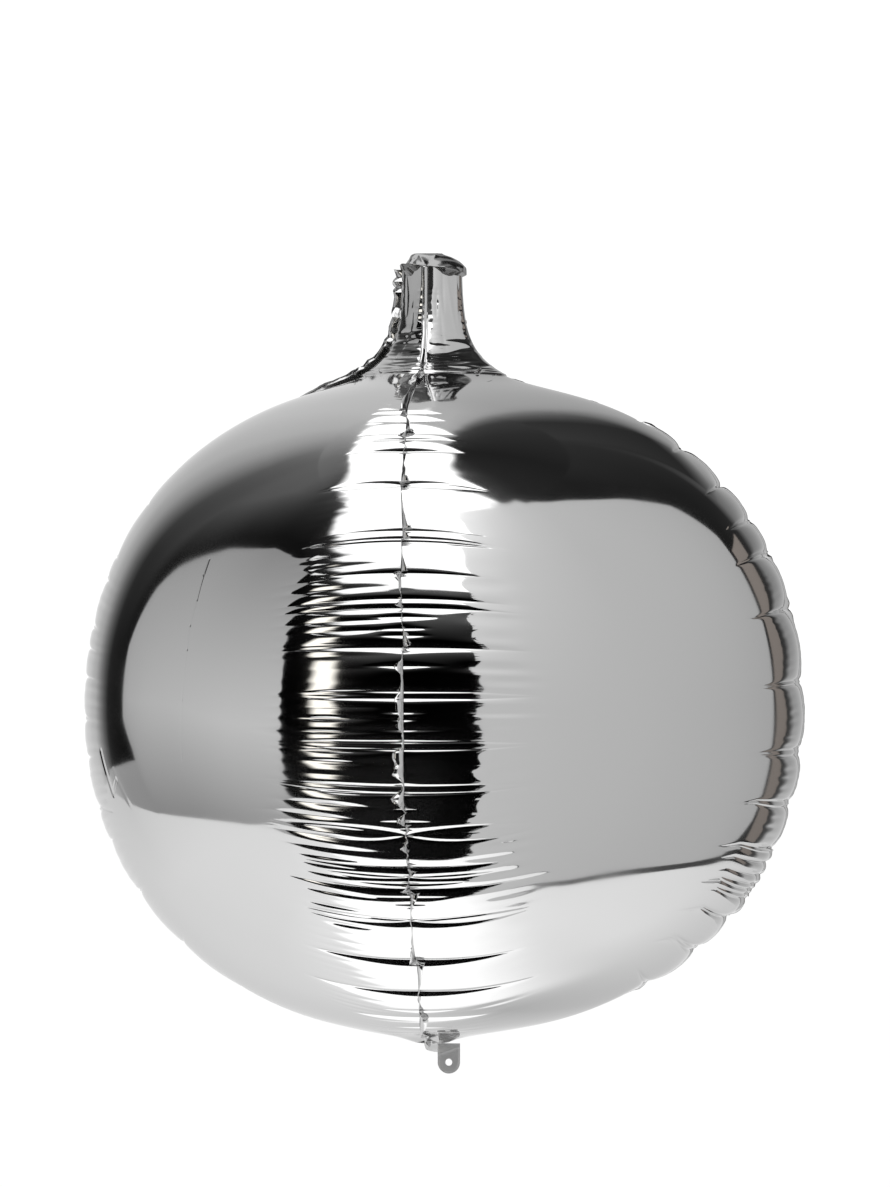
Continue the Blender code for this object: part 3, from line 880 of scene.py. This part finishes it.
def build_floor():
    """A wide pale floor with a painted shadow: its colour is darker under the balloon."""
    finish, nodes, links = new_material("floor")
    shader = fill(nodes["Principled BSDF"], Roughness=1.0, Specular_IOR_Level=0.0)
    place = nodes.new("ShaderNodeTexCoord")
    painted_shadow_ball = nodes.new("ShaderNodeTexGradient")
    painted_shadow_ball.gradient_type = "SPHERICAL"
    fit = fill(nodes.new("ShaderNodeMapping"), Scale=(0.2, 0.2, 0.2))
    # Painted shadow: the floor's colour falls from 0.97 far out to 0.72 round the middle, under the balloon.
    painted_shadow_ramp = nodes.new("ShaderNodeValToRGB")
    for stop, position, tone in zip(painted_shadow_ramp.color_ramp.elements, (0.0, 0.75), (0.97, 0.72)):
        stop.position, stop.color = position, (tone, tone, tone, 1)
    links.new(place.outputs["Object"], fit.inputs["Vector"])
    links.new(fit.outputs["Vector"], painted_shadow_ball.inputs["Vector"])
    links.new(painted_shadow_ball.outputs["Fac"], painted_shadow_ramp.inputs["Fac"])
    links.new(painted_shadow_ramp.outputs["Color"], shader.inputs["Base Color"])
    bpy.ops.mesh.primitive_circle_add(vertices=96, radius=FLOOR_RADIUS, fill_type="TRIFAN",
                                      location=(0, 0, FLOOR_Z))
    floor = bpy.context.object
    floor.name = "floor"
    floor.data.materials.append(finish)


def glow_material(name, tint):
    made, nodes, links = new_material(name)
    nodes.clear()
    output = nodes.new("ShaderNodeOutputMaterial")
    emission = fill(nodes.new("ShaderNodeEmission"), Color=(*tint, 1))
    glow = nodes.new("ShaderNodeAttribute")
    glow.attribute_name = "glow"
    links.new(glow.outputs["Fac"], emission.inputs["Strength"])
    links.new(emission.outputs[0], output.inputs["Surface"])
    return made


def stage_glow(made, tone):
    """Gives a studio panel the glow for the tones of its points, and lets only reflections see it."""
    glow = made.data.attributes.new("glow", "FLOAT", "POINT")
    glow.data.foreach_set("value", (tone**DISPLAY_GAMMA / FILM_REFLECTANCE).astype(np.float32).ravel())
    made.visible_camera = False
    made.visible_diffuse = False
    made.visible_shadow = False


def studio_points(radius, azimuth, elevation, pole=1):
    """Points round the balloon's middle, from angles in degrees; pole -1 turns them upside down."""
    a, e = np.radians(azimuth), np.radians(elevation)
    unit = np.stack([np.sin(a) * np.cos(e), -np.cos(a) * np.cos(e), pole * np.sin(e)], axis=-1)
    return np.array([SIDE_SHIFT, 0, EQUATOR_Z]) + radius * unit


def build_panel(name, behind, stations, tint=(1, 1, 1)):
    """A curved panel of the studio, some way behind its radius, which only reflections see.

    Each station is an azimuth from the front, positive to the right, and pairs of elevation and tone up from
    its lower edge, in degrees. A tone is the brightness that the film shows in the picture.
    """
    azimuths = [station[0] for station in stations]
    knots = np.array([station[1:] for station in stations], float)
    fine = np.linspace(azimuths[0], azimuths[-1], int(abs(azimuths[-1] - azimuths[0]) / 3) + 2)
    levels = np.arange(knots.shape[1])
    steps = np.linspace(0, levels[-1], 8 * levels[-1] + 1)

    def spread(part):
        rows = [np.interp(fine, azimuths, knots[:, level, part]) for level in levels]
        return np.array([np.interp(steps, levels, column) for column in zip(*rows)])

    points = studio_points(STUDIO_RADIUS + behind, fine[:, None], spread(0))
    made = mesh_object(name, points, grid_faces(*points.shape[:2]), glow_material(name, tint))
    stage_glow(made, spread(1))


def build_cap(name, behind, pole, reach, tone_at):
    """A round panel of the studio straight above (pole 1) or below (pole -1), up to an angle from its middle.

    Its tone is a function of azimuth and of the angle from its middle, both in degrees.
    """
    azimuth, away = np.meshgrid(np.linspace(-180, 180, 240, endpoint=False), np.linspace(0.1, reach, 64))
    points = studio_points(STUDIO_RADIUS + behind, azimuth, 90 - away, pole)
    made = mesh_object(name, points, grid_faces(*away.shape, closed=True), glow_material(name, (1, 1, 1)))
    stage_glow(made, tone_at(azimuth, away))


# Tones of the grey ceiling, by azimuth.
CEILING_GREY = [(-180, 0.68), (-150, 0.70), (-135, 0.64), (-120, 0.52), (-105, 0.41), (-90, 0.37),
                (-72, 0.26), (-60, 0.20), (-40, 0.20), (0, 0.60), (40, 0.30), (75, 0.16),
                (110, 0.14), (145, 0.19), (160, 0.24), (165, 0.40), (170, 0.62), (180, 0.68)]


def ceiling_tone(azimuth, away):
    """A white wedge overhead, which narrows towards the back, in a grey ceiling."""
    x, y = away * np.sin(np.radians(azimuth)), away * np.cos(np.radians(azimuth))
    left = np.interp(y, [-30, -8, 14, 31], [-13, -21, -25, -34])
    right = np.interp(y, [-31, -25, -14, 0, 10, 14, 17, 31], [-9, -6, -1, 5, 8, 16, 27, 44])
    soft = np.interp(y, [2, 12], [0.8, 3.5])
    inside = smoothstep(left - soft, left + soft, x) * smoothstep(right + soft, right - soft, x)
    inside *= smoothstep(-31, -29, y)
    azimuths, tones = zip(*CEILING_GREY)
    grey = np.interp(azimuth, azimuths, tones)
    tone = grey + (1.12 - grey) * inside
    flat_top = np.interp(azimuth, [22, 24, 45, 60, 66, 74], [33, 30, 27, 28.5, 28.5, 33])
    flat = smoothstep(flat_top - 0.4, flat_top + 0.4, away)
    return tone + (np.interp(azimuth, [24, 45, 60], [0.95, 0.84, 0.76]) - tone) * flat


# Tones of the ground round the balloon, by azimuth, at 80, 60, 40 and 20 degrees from straight down.
GROUND = [
    (-180, 0.88, 0.82, 0.76, 0.84),
    (-165, 0.88, 0.86, 0.84, 0.92),
    (-145, 0.90, 0.86, 0.86, 0.90),
    (-115, 0.76, 0.84, 0.84, 0.88),
    (-90, 0.80, 0.84, 0.84, 0.90),
    (-60, 0.84, 0.84, 0.86, 0.93),
    (-30, 0.92, 0.92, 0.92, 1.00),
    (0, 0.95, 0.95, 0.95, 1.02),
    (30, 0.92, 0.92, 0.92, 0.98),
    (60, 0.86, 0.86, 0.86, 0.92),
    (90, 0.84, 0.84, 0.86, 0.88),
    (118, 0.80, 0.82, 0.86, 0.84),
    (150, 0.84, 0.82, 0.77, 0.80),
    (172, 0.88, 0.80, 0.70, 0.80),
    (180, 0.88, 0.82, 0.76, 0.84),
]


def ground_tone(azimuth, away):
    """A pale ground with a white patch underneath."""
    table = np.array(GROUND)
    rings = [np.interp(azimuth, table[:, 0], table[:, k]) for k in (4, 3, 2, 1)]
    share = np.clip((away - 20) / 20, 0, 2.999)
    ring = share.astype(int)
    part = share - ring
    tone = np.choose(ring, rings[:3]) * (1 - part) + np.choose(ring, rings[1:]) * part
    x, y = away * np.sin(np.radians(azimuth)), away * np.cos(np.radians(azimuth))
    left = np.interp(y, [-40, -30, 0, 15, 45], [-12, -13, -22, -27, -36])
    patch = smoothstep(left - 2, left + 2, x) * smoothstep(30, 2, x)
    patch *= smoothstep(-34, -26, y) * smoothstep(60, 46, y)
    return tone + (1.04 - tone) * patch


def build_studio():
    build_cap("ceiling", -0.05, 1, 31, ceiling_tone)
    build_cap("ground", 0.10, -1, 80, ground_tone)
    build_panel("front_room", 0, [
        (-52, (-29, 0.03), (0, 0.02), (36, 0.06)),
        (-45, (-38, 0.03), (0, 0.02), (34, 0.10)),
        (-30, (-45, 0.03), (0, 0.02), (30, 0.25)),
        (-17, (-50, 0.03), (5, 0.02), (31, 0.32)),
        (-10, (-51, 0.03), (10, 0.02), (31.5, 0.35)),
        (10, (-51, 0.03), (10, 0.02), (33, 0.35)),
        (26, (-51, 0.03), (10, 0.02), (33, 0.35)),
    ])
    build_panel("strip_light", -0.03, [
        (-41, (-18, 0.10), (-14, 0.30), (17, 0.30), (22, 0.10)),
        (-39, (-18, 0.40), (-14, 1.08), (17, 1.08), (22, 0.40)),
        (-32, (-18, 0.40), (-14, 1.08), (17, 1.08), (22, 0.40)),
        (-30, (-18, 0.10), (-14, 0.30), (17, 0.30), (22, 0.10)),
    ], tint=(1.0, 0.96, 0.88))
    build_panel("soft_box", 0.02, [
        (-58, (40, 0.10), (55, 0.16), (60, 0.24), (62, 0.30)),
        (-50, (40, 0.10), (48, 0.16), (52, 1.00), (62, 1.12)),
        (-40, (33, 0.10), (40, 0.18), (44, 1.00), (62, 1.12)),
        (-34, (29, 0.12), (33, 0.30), (37, 1.05), (62, 1.12)),
        (-31, (29, 0.60), (34, 1.05), (40, 1.12), (62, 1.12)),
        (30, (31, 0.80), (35, 1.12), (45, 1.12), (62, 1.12)),
        (50, (50, 0.80), (55, 0.90), (58, 0.92), (62, 0.95)),
    ])
    build_panel("left_flat", 0, [
        (-108, (-2, 0.63), (1, 0.64), (8, 0.62)),
        (-106, (-6, 0.58), (0, 0.66), (17, 0.61)),
        (-103.2, (-9, 0.56), (0, 0.67), (23, 0.60)),
        (-103, (-19, 0.52), (0, 0.67), (23.5, 0.60)),
        (-98, (-20.5, 0.52), (0, 0.69), (28, 0.58)),
        (-90, (-22.5, 0.52), (0, 0.70), (33, 0.57)),
        (-72, (-27, 0.56), (-2, 0.73), (38.5, 0.52)),
        (-52, (-30, 0.60), (-3, 0.74), (38, 0.54)),
    ])
    build_panel("left_foot", 0.01, [
        (-121, (-12.5, 0.72), (-10.5, 0.66), (-9.5, 0.66)),
        (-112, (-16, 0.55), (-12, 0.56), (-9.5, 0.57)),
        (-102, (-19.5, 0.53), (-13, 0.54), (-9, 0.56)),
    ])
    build_panel("left_shade", 0.04, [
        (-170, (-12, 0.92), (5, 0.94), (38, 0.80), (70, 0.69)),
        (-152, (-12, 0.90), (5, 0.88), (35, 0.78), (70, 0.69)),
        (-138, (-12, 0.86), (5, 0.80), (25, 0.72), (70, 0.66)),
        (-128, (-11, 0.80), (5, 0.64), (20, 0.58), (70, 0.60)),
        (-121, (-10, 0.46), (5, 0.34), (18, 0.32), (70, 0.56)),
        (-117, (-10, 0.15), (5, 0.14), (22, 0.18), (70, 0.52)),
        (-111, (-10, 0.09), (9, 0.13), (24, 0.20), (70, 0.46)),
        (-105, (-10, 0.08), (26, 0.12), (42, 0.32), (72, 0.42)),
        (-102, (-10, 0.08), (26, 0.12), (42, 0.32), (72, 0.41)),
        (-90, (0, 0.10), (36, 0.12), (52, 0.34), (74, 0.38)),
        (-72, (10, 0.10), (42, 0.10), (56, 0.22), (74, 0.40)),
        (-50, (20, 0.08), (42, 0.08), (50, 0.12), (66, 0.30)),
    ])
    build_panel("right_flat", 0, [
        (24, (-52, 0.73), (0, 0.72), (40, 0.85), (60, 0.95)),
        (45, (-54, 0.70), (0, 0.71), (40, 0.76), (63, 0.84)),
        (60, (-50, 0.69), (0, 0.70), (40, 0.73), (61.5, 0.76)),
        (75, (-45, 0.68), (0, 0.69), (40, 0.70), (58.5, 0.72)),
        (90, (-38.5, 0.67), (0, 0.67), (35, 0.69), (54, 0.70)),
        (105, (-33, 0.66), (0, 0.65), (30, 0.67), (48, 0.68)),
        (115, (-29, 0.64), (0, 0.64), (25, 0.65), (41, 0.66)),
        (121, (-20, 0.64), (0, 0.64), (15, 0.64), (30, 0.64)),
    ])
    build_panel("right_foot", 0.01, [
        (50, (-54, 0.45), (-52, 0.45)),
        (75, (-47, 0.35), (-44, 0.35)),
        (90, (-40.5, 0.30), (-37, 0.30)),
        (105, (-34.5, 0.25), (-31, 0.25)),
        (112, (-32, 0.22), (-27, 0.22)),
        (123, (-27, 0.20), (-10, 0.20)),
    ])
    build_panel("right_shade", 0.04, [
        (52, (58, 0.70), (66, 0.50), (75, 0.30), (86, 0.30)),
        (75, (50, 0.14), (62, 0.16), (75, 0.20), (86, 0.26)),
        (100, (40, 0.12), (58, 0.14), (75, 0.20), (86, 0.26)),
        (118, (-29, 0.12), (45, 0.14), (70, 0.20), (86, 0.26)),
        (126, (-27, 0.12), (40, 0.14), (70, 0.20), (86, 0.26)),
        (137, (-24, 0.30), (32, 0.16), (68, 0.20), (86, 0.26)),
        (142, (-22, 0.72), (28, 0.40), (34, 0.18), (80, 0.26)),
        (158, (-20, 0.80), (26, 0.60), (36, 0.18), (72, 0.22)),
        (165, (-20, 0.84), (24, 0.66), (46, 0.38), (66, 0.40)),
        (170, (-20, 0.86), (10, 0.70), (50, 0.62), (66, 0.62)),
        (180, (-20, 0.90), (8, 0.74), (50, 0.66), (66, 0.68)),
        (190, (-20, 0.92), (8, 0.84), (50, 0.72), (66, 0.69)),
    ])
    build_panel("brown_strip", 0.02, [
        (123, (-24, 0.46), (26, 0.50)),
        (133, (-24, 0.46), (26, 0.50)),
    ], tint=(1.0, 0.88, 0.80))


build_camera()
build_world()
film = film_material("film_silver", FILM_REFLECTANCE, 0.04, 0.10, 0)
dent_film(film)
# Painted shade: the fins and the gathered tail get a film a little darker than the gores' film, which is the
# same film.
weld = film_material("weld_silver", 0.74, 0.10, 0.16, 0.0001)
# Painted shade: the neck's folded lid gets a much darker film than the gores, though it is the same film.
fold = film_material("fold_silver_painted_shade", 0.32, 0.14, 0.22, 0.0001)
tab = film_material("tab_silver", 0.60, 0.26, 0.34, 0.0001, metallic=0.6)
for quarter in range(4):
    build_gore(quarter, film)
for weld_name in WELD_ORDER:
    build_fin(weld_name, weld)
build_neck_fold(fold)
build_tail_gather(weld)
build_tabs(tab)
build_floor()
build_studio()
